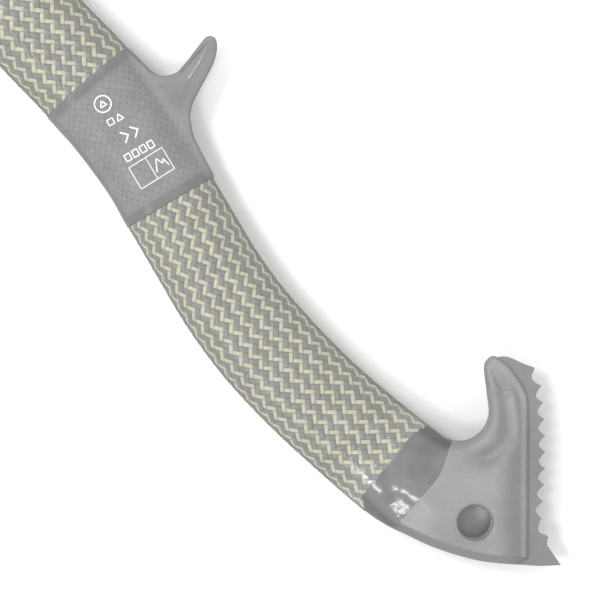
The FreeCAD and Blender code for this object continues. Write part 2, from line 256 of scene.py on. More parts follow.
def thickness_at(s):
    return np.interp(s, (CUFF_BOTTOM, CUFF_TOP), (GRIP_THICKNESS, UPPER_THICKNESS))


def shaft_surface(s, turn, lift=0.0):
    """Point on the shaft's skin: turn runs 0-1 round it from the top's middle towards the front."""
    depth, thickness = depth_at(s), thickness_at(s)
    radius = thickness / 2
    flat = depth - thickness
    girth = 2 * flat + math.pi * thickness
    way = (turn % 1.0) * girth
    bend = math.pi * radius
    # Distances at which the top flat, front bend, bottom flat and back bend end.
    a, b, c, d = flat / 2, flat / 2 + bend, 1.5 * flat + bend, 1.5 * flat + 2 * bend
    front = np.clip((way - a) / radius, 0.0, math.pi)
    back = np.clip((way - c) / radius, 0.0, math.pi)
    across = np.where(way < a, way, np.where(way < b, flat / 2, np.where(
        way < c, flat / 2 - (way - b), np.where(way < d, -flat / 2, way - girth))))
    normal_across = np.where(way < b, np.sin(front), np.where(way < c, 0.0, -np.sin(back)))
    normal_up = np.where(way < b, np.cos(front), np.where(way < c, -1.0, -np.cos(back)))
    across = across + normal_across * (radius + lift)
    z = normal_up * (radius + lift)
    x, y, heading = spine_at(s)
    return np.stack([x + across * np.sin(heading), y - across * np.cos(heading), z], axis=-1), normal_up


# ---- meshes

def linked(name, data):
    """New object in the scene."""
    made = bpy.data.objects.new(name, data)
    bpy.context.scene.collection.objects.link(made)
    return made


def mesh_object(name, points, faces, smooth=True):
    """New object from drawing points and a list or array of faces."""
    mesh = bpy.data.meshes.new(name)
    mesh.from_pydata(placed(points).tolist(), [], [list(map(int, face)) for face in faces])
    mesh.validate()
    mesh.polygons.foreach_set("use_smooth", [smooth] * len(mesh.polygons))
    mesh.update()
    return linked(name, mesh)


def finish_piece(made, slot, *nodes):
    """Every piece rides on the one rigid body."""
    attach(made, "root")
    if nodes:
        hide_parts(*nodes)


# Times that a mesh is pulled onto its surface.
PULL_ROUNDS = 3


def field_mesh(name, field, low, high, step):
    """Closed mesh where field(x, y, z) is zero: surface nets, pulled onto the surface."""
    axes = [np.arange(a, b + step, step) for a, b in zip(low, high)]
    gx, gy, gz = np.meshgrid(*axes, indexing="ij")
    values = field(gx[:, :, :1], gy[:, :, :1], gz[:1, :1, :])
    shape = np.array(values.shape) - 1
    total = np.zeros((*shape, 3))
    count = np.zeros(shape)
    crossings = []
    for axis in range(3):
        v0, v1 = np.delete(values, -1, axis), np.delete(values, 0, axis)
        crossed = (v0 < 0) != (v1 < 0)
        share = np.where(crossed, v0 / np.where(crossed, v0 - v1, 1.0), 0.0)
        crossings.append((crossed, v0 < 0))
        others = [a for a in range(3) if a != axis]
        for da in (0, 1):
            for db in (0, 1):
                pick = [slice(None)] * 3
                pick[others[0]] = slice(da, da + shape[others[0]])
                pick[others[1]] = slice(db, db + shape[others[1]])
                here, part = crossed[tuple(pick)], share[tuple(pick)]
                count += here
                total[..., axis] += np.where(here, part, 0.0)
                total[..., others[0]] += np.where(here, da, 0)
                total[..., others[1]] += np.where(here, db, 0)
    used = count > 0
    index = np.full(shape, -1)
    index[used] = np.arange(int(used.sum()))
    corner = np.argwhere(used)
    points = np.array(low) + (corner + total[used] / count[used][:, None]) * step
    faces = []
    for axis in range(3):
        crossed, starts_inside = crossings[axis]
        others = [(axis + 1) % 3, (axis + 2) % 3]
        places = np.argwhere(crossed)
        within = [(places[:, o] > 0) & (places[:, o] < values.shape[o] - 1) for o in others]
        places = places[np.all(within, axis=0)]
        flips = starts_inside[tuple(places.T)]
        ring = []
        for da, db in ((-1, -1), (0, -1), (0, 0), (-1, 0)):
            cell = places.copy()
            cell[:, others[0]] += da
            cell[:, others[1]] += db
            ring.append(index[tuple(cell.T)])
        ring = np.stack(ring, axis=1)
        ring[~flips] = ring[~flips][:, ::-1]
        faces.append(ring)
    for _ in range(PULL_ROUNDS):
        points = pulled(points, field, step)
    return mesh_object(name, points, np.concatenate(faces))


def pulled(points, field, step):
    """Points moved onto the field's zero surface, by at most half a step."""
    x, y, z = points.T
    value = field(x, y, z)
    probe = step * 0.1
    slope = np.stack([
        field(x + probe, y, z) - value,
        field(x, y + probe, z) - value,
        field(x, y, z + probe) - value,
    ], axis=1) / probe
    size = np.maximum((slope ** 2).sum(axis=1), 0.05)
    move = -value[:, None] * slope / size[:, None]
    length = np.linalg.norm(move, axis=1, keepdims=True)
    return points + move * np.minimum(1.0, 0.5 * step / np.maximum(length, 1e-9))


def drawing_points(mesh):
    """The mesh's vertices in drawing millimetres."""
    return (np.array([vert.co for vert in mesh.vertices]) - ORIGIN) * 1000


def point_values(mesh, name, values):
    """Float attribute on the mesh's vertices."""
    layer = mesh.attributes.new(name, "FLOAT", "POINT")
    layer.data.foreach_set("value", np.asarray(values, np.float32))


def steepness(mesh, flat, steep):
    """At each vertex, 1 where the skin stands steeply and 0 where it faces up or down."""
    normals = np.array([vert.normal[2] for vert in mesh.vertices])
    return smoothstep(flat, steep, np.abs(normals))


def mark_sides(mesh, flat=0.93, steep=0.66):
    """Attribute for finishes that are duller on steep skin."""
    point_values(mesh, "side_skin", steepness(mesh, flat, steep))


# ---- braided sleeves

# Tows each way round the shaft, and the length in which one goes once round.
TOWS = 42
TOW_TURN = 94.5
# A pale tow's width against the tows' mean width, and the places across a tow that carry points.
PALE_SHARE = 0.86
TOW_CUTS = (0.0, 0.2, 0.8, 1.0)
TOW_RISE = 0.13
TOW_SINK = 0.12


def tow_place(fine):
    """Place of a fine lattice line: pale tows (even) are narrower than dark ones (odd)."""
    cuts = len(TOW_CUTS) - 1
    tow, cut = np.divmod(fine, cuts)
    pair, dark = np.divmod(tow, 2)
    low = 2 * pair + np.where(dark == 1, PALE_SHARE, 0.0)
    width = np.where(dark == 1, 2 - PALE_SHARE, PALE_SHARE)
    return low + width * np.array(TOW_CUTS)[cut]


def braid_sleeve(name, start, end):
    """2/2 twill braid of single tows, each a raised band that dives under its neighbours."""
    cuts = len(TOW_CUTS) - 1
    low = math.floor(2 * TOWS * start / TOW_TURN)
    high = math.ceil(2 * TOWS * end / TOW_TURN)
    total, gap = np.meshgrid(np.arange(2 * TOWS), np.arange(low, high + 1), indexing="ij")
    fits = (total + gap) % 2 == 0
    i, j = (total + gap)[fits] // 2, (total - gap)[fits] // 2
    phase = (i - j) % 4
    i_on_top = phase < 2
    second = np.where(i_on_top, 1 - phase, phase - 2)
    fi, fj = np.meshgrid(np.arange(cuts + 1), np.arange(cuts + 1), indexing="ij")
    share = np.array(TOW_CUTS)
    across = np.where(i_on_top[:, None, None], share[fi], share[fj])
    along = np.where(i_on_top[:, None, None], share[fj], share[fi]) + second[:, None, None]
    crown = (1 - np.abs(2 * across - 1) ** 3) * np.clip(np.sin(math.pi * along / 2), 0, 1) ** 0.6
    lift = -TOW_SINK + (TOW_RISE + TOW_SINK) * crown
    p = i[:, None, None] * cuts + fi
    q = j[:, None, None] * cuts + fj
    wraps = (p + q) // (2 * TOWS * cuts)
    p, q = p - wraps * TOWS * cuts, q - wraps * TOWS * cuts
    big = 1 << 20
    _, first, back = np.unique((p + big) * (4 * big) + (q + big), return_index=True, return_inverse=True)
    back = back.reshape(p.shape)
    cp, cq = tow_place(p.ravel()[first]), tow_place(q.ravel()[first])
    turn = (cp + cq) / (2 * TOWS)
    s = TOW_TURN * (cp - cq) / (2 * TOWS)
    # Resin from the collar has run over the first turns of the braid and fills them.
    wash = smoothstep(15.0, 5.0, s + 3 * np.sin(math.tau * turn * 5) * (s < 40))
    lift = lift.ravel()[first]
    points, facing = shaft_surface(s, turn, lift + (0.1 - 0.8 * lift) * wash)
    quads = []
    coords = []
    for a in range(cuts):
        for b in range(cuts):
            loop = ((a, b), (a, b + 1), (a + 1, b + 1), (a + 1, b))
            corners = [np.stack([along[:, c, d] / 2, across[:, c, d]], axis=-1) for c, d in loop]
            quads.append(np.stack([back[:, c, d] for c, d in loop], axis=1))
            coords.append(np.stack(corners, axis=1))
    pale = np.where(i_on_top, i, j) % 2 == 0
    slots = np.tile(np.where(pale, 0, 1), cuts * cuts)
    made = mesh_object(name, points, np.concatenate(quads))
    mesh = made.data
    mesh.polygons.foreach_set("material_index", slots.astype(np.int32))
    layer = mesh.uv_layers.new(name="tow")
    layer.data.foreach_set("uv", np.concatenate(coords).reshape(-1).astype(np.float32))
    # Mask of the sleeve's steep sides, which the tow material paints darker as painted shade.
    point_values(mesh, "painted_side_shade", smoothstep(0.5, 0.2, np.abs(facing)))
    point_values(mesh, "resin_wash", wash)
    close_ends(mesh)
    return made


def close_ends(mesh):
    """Fans over the open ends, which lie inside the cuff, the collar or the head."""
    work = bmesh.new()
    work.from_mesh(mesh)
    loose = [edge for edge in work.edges if edge.is_boundary]
    while loose:
        ring = {loose[0]}
        front = [loose[0]]
        while front:
            edge = front.pop()
            for vert in edge.verts:
                for other in vert.link_edges:
                    if other.is_boundary and other not in ring:
                        ring.add(other)
                        front.append(other)
        rim = {vert for edge in ring for vert in edge.verts}
        middle = work.verts.new(sum((vert.co for vert in rim), Vector()) / len(rim))
        for edge in ring:
            loop = edge.link_loops[0]
            a, b = loop.vert, loop.link_loop_next.vert
            face = work.faces.new((b, a, middle))
            face.material_index = 1
        loose = [edge for edge in loose if edge not in ring]
    work.to_mesh(mesh)
    work.free()


# ---- materials

class Graph:
    """One Principled material, with short ways to add and join its nodes."""

    def __init__(self, name, **settings):
        self.made = bpy.data.materials.new(name)
        self.made.use_nodes = True
        self.tree = self.made.node_tree
        self.shader = self.tree.nodes["Principled BSDF"]
        self.use(**settings)

    def add(self, kind, inputs=None, **settings):
        node = self.tree.nodes.new("ShaderNode" + kind)
        for key, value in settings.items():
            setattr(node, key, value)
        for key, value in (inputs or {}).items():
            self.set(node.inputs[key], value)
        return node

    def set(self, socket, value):
        if isinstance(value, bpy.types.NodeSocket):
            self.tree.links.new(value, socket)
        else:
            socket.default_value = value

    def math(self, operation, *values):
        return self.add("Math", dict(enumerate(values)), operation=operation).outputs[0]

    def attribute(self, name, output="Fac"):
        return self.add("Attribute", attribute_name=name).outputs[output]

    def mix(self, share, first, second):
        """Blend of two colours."""
        return self.add("Mix", {0: share, 6: first, 7: second}, data_type="RGBA").outputs[2]

    def away(self, value, middle):
        """How far a number is from a middle."""
        return self.math("ABSOLUTE", self.math("SUBTRACT", value, middle))

    def weighed(self, first, share, second):
        """Blend of two numbers."""
        rest = self.math("MULTIPLY", second, 1 - share)
        return self.math("ADD", self.math("MULTIPLY", first, share), rest)

    def position(self, scale=(1, 1, 1), turn=0.0):
        """Object coordinates in metres, scaled."""
        place = self.add("TexCoord").outputs["Object"]
        node = self.add("Mapping", {"Vector": place, "Scale": scale, "Rotation": (0, 0, turn)})
        return node.outputs[0]

    def noise(self, vector, scale, detail=3.0, rough=0.5):
        inputs = {"Vector": vector, "Scale": scale, "Detail": detail, "Roughness": rough}
        return self.add("TexNoise", inputs).outputs["Fac"]

    def ramp(self, value, *stops):
        """Colour ramp: stops are (place, colour)."""
        node = self.add("ValToRGB", {"Fac": value})
        places = node.color_ramp.elements
        while len(places) < len(stops):
            places.new(0.5)
        for element, (place, colour) in zip(places, stops):
            element.position = place
            element.color = colour
        return node.outputs[0]

    def range(self, value, low, high, new_low, new_high):
        node = self.add("MapRange", {0: value, 1: low, 2: high, 3: new_low, 4: new_high})
        return node.outputs[0]

    def bump(self, height, strength, distance, normal=None):
        inputs = {"Height": height, "Strength": strength, "Distance": distance}
        if normal is not None:
            inputs["Normal"] = normal
        return self.add("Bump", inputs).outputs[0]

    def use(self, **sockets):
        for key, value in sockets.items():
            self.set(self.shader.inputs[key.replace("_", " ")], value)


def tow_material(name, deep, body, crest):
    """One braided tow under clear resin: fine filaments along it, painted shade where it dives and along
    its edges, and painted shade on steep sides.
    """
    # Painted shade: steep sides of the sleeve take this flat dark grey in place of the weave.
    side_shade_colour = grey(94, -3)
    graph = Graph(name, Roughness=0.5, Specular_IOR_Level=0.4, Coat_IOR=1.5, Coat_Roughness=0.19)
    split = graph.add("SeparateXYZ", {0: graph.add("UVMap", uv_map="tow").outputs[0]})
    along, across = split.outputs[0], split.outputs[1]
    # Painted shade: the colour darkens in the hollows at each tow's edges and where it dives under its
    # neighbours.
    hollow = graph.range(graph.away(across, 0.5), 0.3, 0.5, 0.0, 1.0)
    ends = graph.range(graph.away(along, 0.5), 0.36, 0.5, 0.0, 1.0)
    shade = graph.math("MAXIMUM", hollow, ends)
    patches = graph.noise(graph.position(), 260.0, 3.0)
    strands = graph.add("CombineXYZ", {
        0: graph.math("MULTIPLY", along, 2.0), 1: graph.math("MULTIPLY", across, 24.0)})
    filaments = graph.noise(strands.outputs[0], 1.4, 2.0)
    value = graph.weighed(patches, 0.5, filaments)
    value = graph.math("SUBTRACT", value, graph.math("MULTIPLY", shade, 0.3))
    colour = graph.ramp(value, (0.1, deep), (0.45, body), (0.72, crest))
    # This attribute marks the sleeve's steep sides, where the colour turns darker grey as painted shade.
    side = graph.attribute("painted_side_shade")
    wash = graph.attribute("resin_wash")
    graph.use(Base_Color=graph.mix(graph.math("MULTIPLY", side, 0.75), colour, side_shade_colour))
    sheen = graph.range(wash, 0.0, 1.0, 0.25, 1.0)
    graph.use(Coat_Weight=graph.math("MULTIPLY", sheen, graph.range(side, 0.0, 1.0, 1.0, 0.15)))
    graph.use(Specular_IOR_Level=graph.range(side, 0.0, 1.0, 0.4, 0.1))
    lumps = graph.math("MULTIPLY", graph.noise(graph.position(), 420.0, 2.0), wash)
    graph.use(Normal=graph.bump(filaments, 0.35, 0.00012, graph.bump(lumps, 0.5, 0.0003)))
    graph.use(Coat_Normal=graph.bump(lumps, 0.9, 0.0004))
    return graph.made


# Width of one thread of the cuff's weave.
CUFF_THREAD = 1.85


def cuff_material():
    """Fine plain carbon weave under satin resin; plain resin where the weave mask is low."""
    graph = Graph("carbon_cuff", Specular_IOR_Level=0.4, Coat_Roughness=0.1, Coat_IOR=1.7)
    place = graph.attribute("skin_place", "Vector")
    mask = graph.attribute("weave_mask")
    turned = graph.add("Mapping", {
        "Vector": place, "Rotation": (0, 0, math.radians(45)), "Scale": (1 / CUFF_THREAD,) * 3})
    split = graph.add("SeparateXYZ", {0: turned.outputs[0]})
    u, v = split.outputs[0], split.outputs[1]
    edges = [graph.away(graph.math("MULTIPLY", graph.math("FRACT", value), 2.0), 1.0) for value in (u, v)]
    hollow = graph.math("POWER", graph.math("MULTIPLY", *edges), 1.5)
    over = graph.math("ADD", graph.math("FLOOR", u), graph.math("FLOOR", v))
    over = graph.math("ABSOLUTE", graph.math("MODULO", over, 2.0))
    blotch = graph.noise(graph.position(), 170.0, 4.0)
    weave = graph.math("ADD", graph.math("MULTIPLY", over, 0.05), graph.math("MULTIPLY", blotch, 0.4))
    weave = graph.math("ADD", graph.math("SUBTRACT", weave, graph.math("MULTIPLY", hollow, 0.27)), 0.2)
    plain = graph.math("MULTIPLY", blotch, 0.35)
    value = graph.add("Mix", {0: mask, 2: plain, 3: weave}, data_type="FLOAT").outputs[0]
    graph.use(Base_Color=graph.ramp(value, (0.1, grey(90)), (0.75, grey(124, -1))))
    graph.use(Roughness=graph.range(mask, 0.0, 1.0, 0.35, 0.5))
    graph.use(Coat_Weight=graph.attribute("horn_gloss"))
    graph.use(Specular_IOR_Level=graph.range(graph.attribute("side_skin"), 0.0, 1.0, 0.4, 0.12))
    height = graph.math("MULTIPLY", hollow, graph.math("MULTIPLY", mask, -1.0))
    graph.use(Normal=graph.bump(height, 0.5, 0.00006, graph.bump(blotch, 0.1, 0.0004)))
    return graph.made


def moulded_material(name, dark, mid, light, rough=0.42, grain=1.0):
    """Satin moulded plastic: fine grain, soft flow marks and faint scuffs, with painted shade on the steep
    back flank.
    """
    graph = Graph(name, Coat_Roughness=0.26, Coat_IOR=1.4)
    place = graph.position()
    flow = graph.noise(place, 45.0, 4.0, 0.6)
    fine = graph.noise(place, 2600.0, 2.0)
    scuffs = graph.noise(graph.position((1, 6, 1), 0.6), 420.0, 5.0, 0.7)
    colour = graph.ramp(graph.weighed(flow, 0.6, scuffs), (0.3, dark), (0.5, mid), (0.72, light))
    # Painted shade: where the flank attribute is set, the steep back flank is coloured darker than the
    # face.
    flank = graph.attribute("flank")
    side = graph.math("MAXIMUM", flank, graph.attribute("side_skin"))
    graph.use(Specular_IOR_Level=graph.range(side, 0.0, 1.0, 0.3, 0.05))
    graph.use(Coat_Weight=graph.range(side, 0.0, 1.0, 0.08, 0.0))
    graph.use(Base_Color=graph.mix(flank, colour, dim(dark, 0.92)))
    graph.use(Roughness=graph.range(scuffs, 0.3, 0.75, rough - 0.06, rough + 0.1))
    graph.use(Normal=graph.bump(fine, 0.22 * grain, 0.00006, graph.bump(flow, 0.1 * grain, 0.0006)))
    return graph.made


def resin_material():
    """Thick glossy resin with the slow waves of a hand-laid surface."""
    graph = Graph("glossy_resin", Roughness=0.4, Coat_Roughness=0.2, Coat_IOR=1.46)
    place = graph.position()
    waves = graph.noise(place, 85.0, 2.0)
    lumps = graph.noise(place, 150.0, 2.0)
    specks = graph.noise(place, 700.0, 3.0)
    side = graph.attribute("side_skin")
    graph.use(Specular_IOR_Level=graph.range(side, 0.0, 1.0, 0.4, 0.05))
    graph.use(Coat_Weight=graph.range(side, 0.0, 1.0, 1.0, 0.1))
    graph.use(Base_Color=graph.ramp(waves, (0.3, grey(77, 2)), (0.7, grey(94))))
    graph.use(Coat_Normal=graph.bump(lumps, 0.8, 0.0008, graph.bump(specks, 0.3, 0.00012)))
    graph.use(Normal=graph.bump(waves, 0.3, 0.001))
    return graph.made


def steel_material(name, base, rough, streaks=(1, 30, 1), turn=0.0):
    """Ground steel: fine lines one way under a cloudy stain."""
    graph = Graph(name, Metallic=1.0, Roughness=rough)
    lines = graph.noise(graph.position(streaks, turn), 160.0, 6.0, 0.75)
    cloud = graph.noise(graph.position(), 40.0, 4.0)
    value = graph.weighed(lines, 0.55, cloud)
    graph.use(Base_Color=graph.ramp(value, (0.32, dim(base, 0.62)), (0.5, base), (0.7, dim(base, 1.25))))
    graph.use(Roughness=graph.range(value, 0.3, 0.7, rough + 0.14, rough - 0.1))
    graph.use(Normal=graph.bump(lines, 0.25, 0.00005))
    return graph.made


def ferrule_material():
    """Aluminium ring: grey rims at both faces, and a bore between them painted much lighter as painted
    light in the hole.
    """
    graph = Graph("satin_ferrule", Metallic=0.8, Roughness=0.5)
    height = graph.add("SeparateXYZ", {0: graph.position()}).outputs[2]
    rim = graph.range(graph.away(height, float(ORIGIN[2])), 0.0092, 0.0099, 0.0, 1.0)
    rub = graph.noise(graph.position((1, 1, 20)), 300.0, 4.0)
    # Painted light: the bore takes a far lighter grey than the faces, so that the hole reads lighter.
    bore = graph.ramp(rub, (0.3, grey(208)), (0.7, grey(230)))
    face = graph.ramp(rub, (0.3, grey(124)), (0.7, grey(134)))
    graph.use(Base_Color=graph.mix(rim, bore, face))
    graph.use(Normal=graph.bump(rub, 0.15, 0.00004))
    return graph.made


def anodised_material():
    """Dark anodised forged alloy with a bead-blasted grain."""
    graph = Graph("anodised_alloy", Metallic=0.85, Roughness=0.42)
    place = graph.position()
    cloud = graph.noise(place, 55.0, 5.0, 0.6)
    grain = graph.noise(place, 3200.0, 2.0)
    graph.use(Base_Color=graph.ramp(cloud, (0.3, linear(88, 89, 92)), (0.7, linear(116, 117, 120))))
    graph.use(Roughness=graph.range(cloud, 0.3, 0.7, 0.36, 0.5))
    graph.use(Normal=graph.bump(grain, 0.3, 0.00006))
    return graph.made


def print_material():
    """White pad-printed ink, a little uneven."""
    graph = Graph("white_print", Roughness=0.5)
    wear = graph.noise(graph.position(), 1500.0, 3.0)
    graph.use(Base_Color=graph.ramp(wear, (0.3, grey(184, 0)), (0.6, grey(202))))
    return graph.made


# ---- cuff and horn

def horn_outline():
    return trace((-24.0, 160.0), [
        ("line", (-19.5, 172.5)),
        ("line", (-16.9, 166.4)),
        ("arc", (-13.9, 162.3), (-9.2, 161.3)),
        ("curve", (-5.8, 162.5), (-2.4, 163.9), (1.2, 165.4)),
        ("curve", (3.3, 166.0), (4.9, 165.1), (5.2, 163.5), (4.2, 161.3)),
        ("curve", (1.9, 158.8), (-1.0, 156.7), (-7.1, 152.9)),
        ("curve", (-10.4, 150.7), (-12.9, 147.8), (-15.3, 142.0)),
        ("line", (-16.4, 130.0)),
        ("line", (-22.0, 130.0)),
    ])


HORN = horn_outline()
HORN_HALF = 4.9
HORN_ROUNDING = 4.0
# A low ridge along the top of the horn, from inside the shaft's front towards the tip.
HORN_CREASE = [
    (-21.5, 157.6), (-15.0, 157.0), (-11.0, 156.6), (-7.6, 157.2), (-4.0, 159.0), (-0.9, 161.0),
    (2.2, 163.3),
]
CREASE_RISE = 0.4
CREASE_WIDTH = 1.3
HORN_BLEND = 3.0
# How far the cuff's front and back pull in between its ends.
WAIST = 0.45
# Stretch of the centre line that the cuff and its horn are measured from.
CUFF_STRETCH = (CUFF_BOTTOM - 12, CUFF_TOP + 14)


def cuff_section(s):
    """Corner radius and half the flat of the cuff's rounded section."""
    radius = thickness_at(s) / 2 + CUFF_SKIN
    return radius, (depth_at(s) + CUFF_EXTRA_DEPTH) / 2 - radius


def rounded_slab(edge, z, half, rounding):
    """Distance to a flat shape of the given half thickness, with its edges rounded over."""
    out, up = edge + rounding, np.abs(z) - (half - rounding)
    beyond = np.hypot(np.maximum(out, 0.0), np.maximum(up, 0.0))
    return np.minimum(np.maximum(out, up), 0.0) + beyond - rounding


def cuff_field(x, y, z):
    """Shaft section between the two sleeves, with the finger-rest horn growing out of its front."""
    s, across = shaft_coordinates(x, y, *CUFF_STRETCH)
    radius, flat = cuff_section(s)
    ends = np.abs(s - CUFF_MIDDLE) - CUFF_HALF_LENGTH
    flat = flat - WAIST * smoothstep(0.0, -14.0, ends)
    body = np.hypot(np.maximum(np.abs(across) - flat, 0.0), z) - radius
    body = smooth_max(body, ends, 0.7)
    crease = line_distance(x, y, HORN_CREASE)
    half = HORN_HALF + CREASE_RISE * np.exp(-(crease / CREASE_WIDTH) ** 2)
    horn = rounded_slab(region_distance(x, y, HORN), z, half, HORN_ROUNDING)
    return smooth_min(body, horn, HORN_BLEND)


def mark_cuff(mesh):
    """Where the weave lies on the cuff's skin, where it fades out, and where the horn is glossy."""
    x, y, z = drawing_points(mesh).T
    s, across = shaft_coordinates(x, y, *CUFF_STRETCH)
    radius = thickness_at(s) / 2
    flat = depth_at(s) / 2 - radius
    bend = np.arctan2(np.maximum(np.abs(across) - flat, 0.0), np.maximum(np.abs(z), 1e-6)) * radius
    skin = np.sign(across) * (np.minimum(np.abs(across), flat) + bend)
    place = mesh.attributes.new("skin_place", "FLOAT_VECTOR", "POINT")
    place.data.foreach_set("vector", np.stack([s, skin, 0 * s], axis=1).ravel())
    inset = CUFF_HALF_LENGTH - np.abs(s - CUFF_MIDDLE)
    mask = smoothstep(2.8, 3.6, inset) * smoothstep(3.5, -2.5, across - depth_at(s) / 2)
    point_values(mesh, "weave_mask", mask * smoothstep(-0.6, -2.4, -across - depth_at(s) / 2))
    on_horn = smoothstep(2.0, -1.0, region_distance(x, y, HORN)) * smoothstep(12.5, 15.5, across)
    point_values(mesh, "horn_gloss", on_horn * (1 - steepness(mesh, 0.6, 0.3)))
    mark_sides(mesh, 0.7, 0.35)


def make_cuff():
    low, high = (-52.0, 124.0, -12.0), (7.0, 178.5, 12.0)
    made = field_mesh("finger_rest_cuff_moulding", cuff_field, low, high, 0.4)
    mark_cuff(made.data)
    made.data.materials.append(cuff_material())
    finish_piece(made, "carbon_cuff", "finger_rest_cuff")


# ---- pommel

THROAT_CENTRE = (12.7, 30.7)
THROAT_RADIUS = 8.9
THROAT_FOOT = (4.35, 27.7)
COLLAR_LINE = [(3.4, 22.6), (-0.6, 18.9), (-6.0, 16.3), (-16.5, 12.8), (-21.7, 9.8)]
# Half thickness that the moulding slopes towards at the plate, before its floor and lip are added.
STEP_HALF = 2.6
LIP_RISE = 0.5
HOOK_VALLEY = [
    (28.0, 33.6), (27.0, 31.4), (26.0, 28.2), (25.1, 25.3), (23.7, 22.0), (21.9, 18.6), (18.9, 15.9),
    (15.4, 14.9), (12.0, 15.0), (8.6, 16.0),
]
VALLEY_DEPTH = 3.2
VALLEY_WIDTH = 2.8
HOOK_RIDGE = [(29.6, 29.2), (28.4, 25.2), (26.8, 21.2), (24.6, 16.8)]
RIDGE_RISE = 0.8
RIDGE_WIDTH = 1.3
HOOK_THINNING = 2.4
COLLAR_FALL = 1.5
# Width of the steep flank along the back edge.
FLANK = 2.6

TOOTH_COUNT = 8
TOOTH_DEPTH = 2.0
TOOTH_ARC_RADIUS = 160.0
FIRST_TOOTH = (18.0, -9.1)
LAST_TOOTH = (37.8, 25.1)
# Points of one tooth: share of the pitch, and share of the full depth reached there.
TOOTH_FORM = (
    (0.05, 0.22), (0.16, 0.56), (0.28, 0.86), (0.38, 0.98), (0.48, 1.0), (0.60, 0.88), (0.74, 0.62),
    (0.88, 0.34), (0.96, 0.12), (1.0, 0.0),
)


def tooth_row():
    """Points of the serrated edge, from the spike up: rounded valleys between pointed tips."""
    start, end = np.array(FIRST_TOOTH), np.array(LAST_TOOTH)
    chord = end - start
    length = np.linalg.norm(chord)
    inward = np.array([-chord[1], chord[0]]) / length
    centre = (start + end) / 2 + inward * math.sqrt(TOOTH_ARC_RADIUS ** 2 - (length / 2) ** 2)
    first = math.degrees(math.atan2(*(start - centre)[::-1]))
    last = math.degrees(math.atan2(*(end - centre)[::-1]))
    pitch = (last - first) / TOOTH_COUNT
    points = [tuple(start)]
    for tooth in range(TOOTH_COUNT):
        for share, drop in TOOTH_FORM:
            angle = first + pitch * (tooth + share)
            points.append(polar(centre, TOOTH_ARC_RADIUS - drop * TOOTH_DEPTH, angle))
    return points


def silhouette():
    """Outer edge of collar, pommel and plate together."""
    throat = [polar(THROAT_CENTRE, THROAT_RADIUS, angle) for angle in (-20, -90)]
    return trace((-21.7, 9.8), [
        ("curve", (-16.5, 2.2), (-12.8, -2.5), (-8.8, -6.9), (-4.4, -11.1), (0.3, -14.7), (5.3, -18.1),
         (10.3, -21.3), (15.0, -24.2)),
        ("line", (22.0, -24.0)),
        ("line", (46.0, 22.0)),
        ("line", (39.0, 30.4)),
        ("curve", (36.5, 33.6), (34.5, 36.4), (32.8, 38.1), (30.2, 40.1), (28.6, 40.4), (26.6, 39.7),
         (25.2, 37.9)),
        ("curve", (23.8, 34.5), throat[0]),
        ("arc", throat[1], THROAT_FOOT),
        ("curve", (3.4, 30.0), (0.7, 36.4), (-3.0, 47.0)),
        ("line", (-34.0, 41.0)),
        ("curve", (-29.5, 26.4), (-26.3, 18.0), (-24.1, 13.6), (-21.7, 9.8)),
    ])[:-1]


SILHOUETTE = silhouette()
# The moulding's edge over the plate, and the region behind it.
PLATE_LINE = trace((7.4, -19.5), [
    ("line", (31.6, 22.2)),
    ("curve", (32.8, 25.2), (33.0, 28.5), (32.8, 31.8), (32.5, 35.0), (31.7, 37.2), (30.7, 40.4)),
])
PLATE_SIDE = [(-2.0, -35.7)] + PLATE_LINE + [(28.0, 50.0), (-60.0, 50.0), (-60.0, -35.7)]
# The region below the line where the resin collar ends.
COLLAR_SIDE = trace((10.0, 27.5), [("line", COLLAR_LINE[0]), ("curve", *COLLAR_LINE[1:])])
COLLAR_SIDE += [(-40.0, 2.0), (-40.0, -40.0), (60.0, -40.0), (60.0, 60.0), (14.0, 60.0)]


def grip_end_half(x, y, s, across, edge, plate_side, flatness):
    """Half thickness of pommel and collar over each point of the drawing."""
    collar_half = GRIP_THICKNESS / 2 + 0.25
    half = collar_half + (HALF - collar_half) * flatness
    half = half - HOOK_THINNING * smoothstep(18.0, 38.0, y + 0.3 * (x - 20.0)) * smoothstep(10.0, 18.0, x)
    valley = np.exp(-(line_distance(x, y, HOOK_VALLEY) / VALLEY_WIDTH) ** 2)
    half = half - VALLEY_DEPTH * valley * smoothstep(6.0, 13.0, x)
    half = half + RIDGE_RISE * np.exp(-(line_distance(x, y, HOOK_RIDGE) / RIDGE_WIDTH) ** 2)
    half = half - (HALF - STEP_HALF) * smoothstep(-10.5, 0.5, plate_side) ** 1.3
    half = smooth_max(half, STEP_HALF + 0.3, 1.0)
    half = half + LIP_RISE * np.exp(-((plate_side + 1.0) / 0.8) ** 2)
    # The collar's face falls away towards its back edge.
    fall = smoothstep(-13.0, -5.0, edge) * smoothstep(0.0, -6.0, across)
    return half - COLLAR_FALL * fall * smoothstep(-19.0, -8.0, s) * smoothstep(2.0, -4.0, s)


